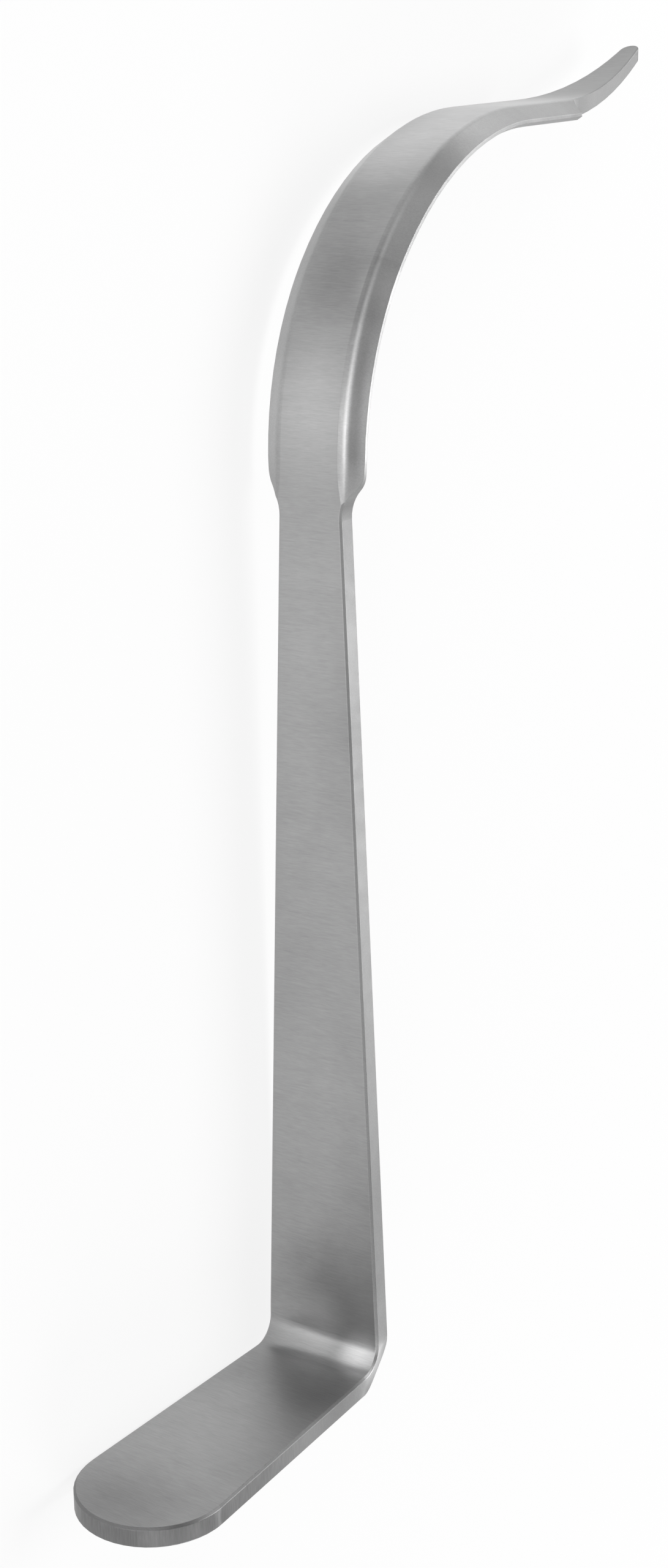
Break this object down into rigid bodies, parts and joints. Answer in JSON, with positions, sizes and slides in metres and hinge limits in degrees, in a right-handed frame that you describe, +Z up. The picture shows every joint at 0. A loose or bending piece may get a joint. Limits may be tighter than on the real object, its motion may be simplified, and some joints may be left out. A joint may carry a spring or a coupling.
{
  "type": "handheld surgical retractor",
  "caption": "Handheld retractor bent from one steel plate, with a flat foot, tapering shank, narrow neck and bevelled hook blade that ends in a tongue.",
  "frame": {"origin": "middle of the piece's box, at the surface it lies on, with its side edges down", "axes": "+X along the shank from the foot to the blade, +Y the way the foot points, +Z up off the surface and across the plate's width, with a lean of about a degree about X"},
  "size_m": [0.264, 0.2078, 0.0302],
  "materials": {
    "brushed_steel": "fine brushed satin, lines across the width"
  },
  "bodies": {
    "root": {"retractor": "brushed_steel"}
  },
  "joints": []
}
